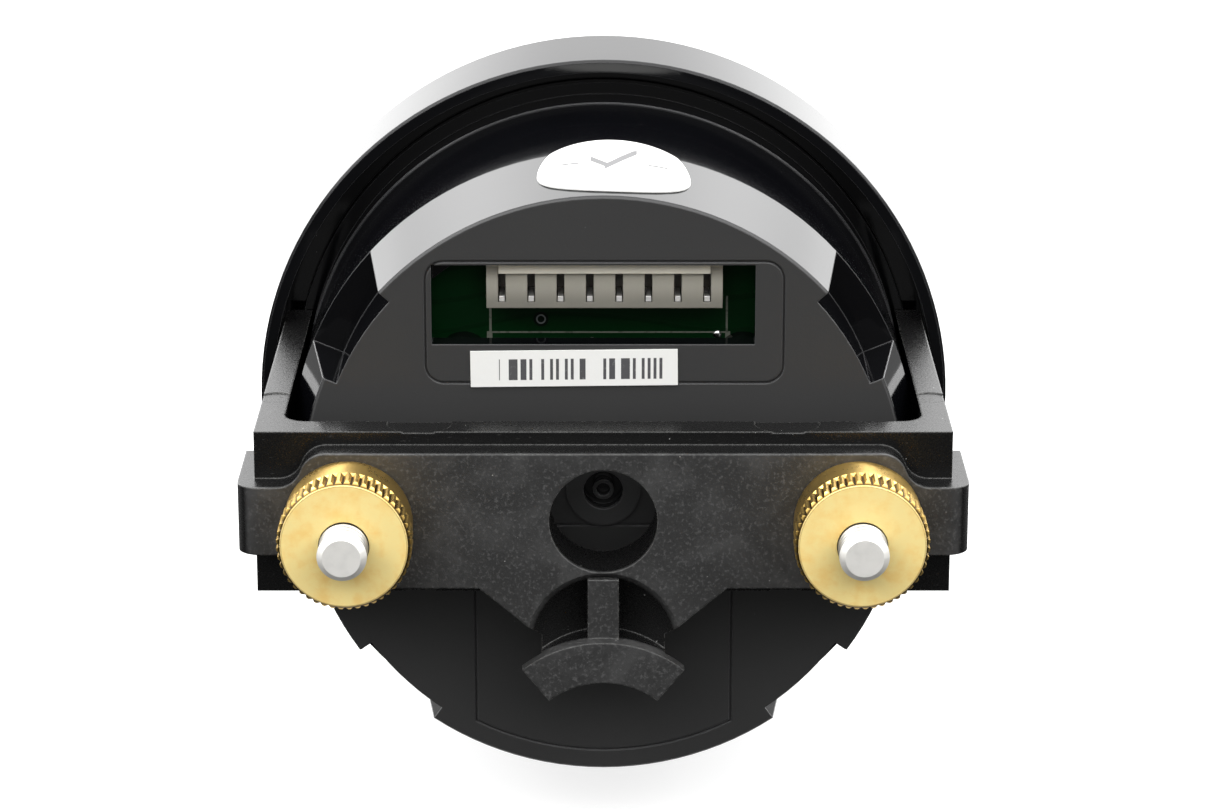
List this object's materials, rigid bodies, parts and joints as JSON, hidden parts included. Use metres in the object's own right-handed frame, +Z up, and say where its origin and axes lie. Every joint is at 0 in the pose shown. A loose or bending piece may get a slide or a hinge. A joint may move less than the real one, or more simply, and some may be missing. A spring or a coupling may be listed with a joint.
{
  "type": "battery monitor panel gauge",
  "caption": "Round panel-mount battery monitor gauge seen from behind, with a rear connector, a U-shaped clamp bracket and brass thumb nuts.",
  "frame": {"origin": "on the gauge's axis, in the plane of the bezel's rear rim where the panel seats", "axes": "+Y runs forward through the display, -Y back to the connector, +Z up, +X to the right as seen from behind"},
  "size_m": [0.06, 0.0541, 0.06],
  "materials": {
    "gloss_black": "moulded gloss black",
    "lens_clear": "clear polycarbonate, light smoke tint",
    "gasket_rubber": "matt rubber",
    "matte_black": "fine matt black",
    "glass_filled_black": "glass-filled black nylon, slightly grainy",
    "dial_print": "printed matt dial",
    "diffuser_white": "milky translucent",
    "display_face": "dark filled display face",
    "led_white": "white light package",
    "board_green": "green solder mask",
    "header_ivory": "natural nylon",
    "pin_metal": "tin-plated",
    "chip_black": "moulded epoxy",
    "can_aluminium": "drawn can",
    "ferrite_grey": "ferrite",
    "brass_nut": "turned brass, fine brushed face",
    "insert_brass": "knurled brass",
    "spacer_brass": "nickel-free brass",
    "zinc_steel": "bright zinc plate",
    "label_paper": "printed paper label",
    "sticker_paper": "printed paper sticker"
  },
  "bodies": {
    "gauge": {"housing": "gloss_black", "bezel_ring": "gloss_black", "lens": "lens_clear", "lens_gasket": "gasket_rubber", "dial_spacer_ring": "matte_black", "faceplate": "dial_print", "light_guide": "diffuser_white", "display_frame": "matte_black", "indicator_leds": "led_white", "display_module": "display_face", "display_pins": "pin_metal", "display_board": "board_green", "display_driver": "chip_black", "board_link_socket": "chip_black", "board_link_plug": "chip_black", "board_spacers": "spacer_brass", "board_screws": "zinc_steel", "main_board": "board_green", "header_body": "header_ivory", "header_pins": "pin_metal", "microcontroller": "chip_black", "regulator": "chip_black", "capacitor": "can_aluminium", "inductor": "ferrite_grey", "surge_diode": "chip_black", "stud_inserts": "insert_brass", "mounting_studs": "zinc_steel", "serial_label": "label_paper", "inspection_sticker": "sticker_paper"},
    "bracket": {"clamp_bracket": "glass_filled_black"},
    "nut_left": {"thumb_nut_left": "brass_nut"},
    "nut_right": {"thumb_nut_right": "brass_nut"}
  },
  "joints": [
    {"name": "bracket_slide", "type": "slide", "parent": "gauge", "child": "bracket", "axis": [0, -1, 0], "range_m": [0, 0.006]},
    {"name": "nut_left_turn", "type": "hinge", "parent": "bracket", "child": "nut_left", "pos_m": [-0.0202, -0.0372, 0], "axis": [0, -1, 0], "range_deg": [0, 3086]},
    {"name": "nut_right_turn", "type": "hinge", "parent": "bracket", "child": "nut_right", "pos_m": [0.0202, -0.0372, 0], "axis": [0, -1, 0], "range_deg": [0, 3086]}
  ],
  "couplings": [
    {"joint": "nut_left_turn", "follows": "bracket_slide", "rad_per_m": 8976},
    {"joint": "nut_right_turn", "follows": "bracket_slide", "rad_per_m": 8976}
  ]
}
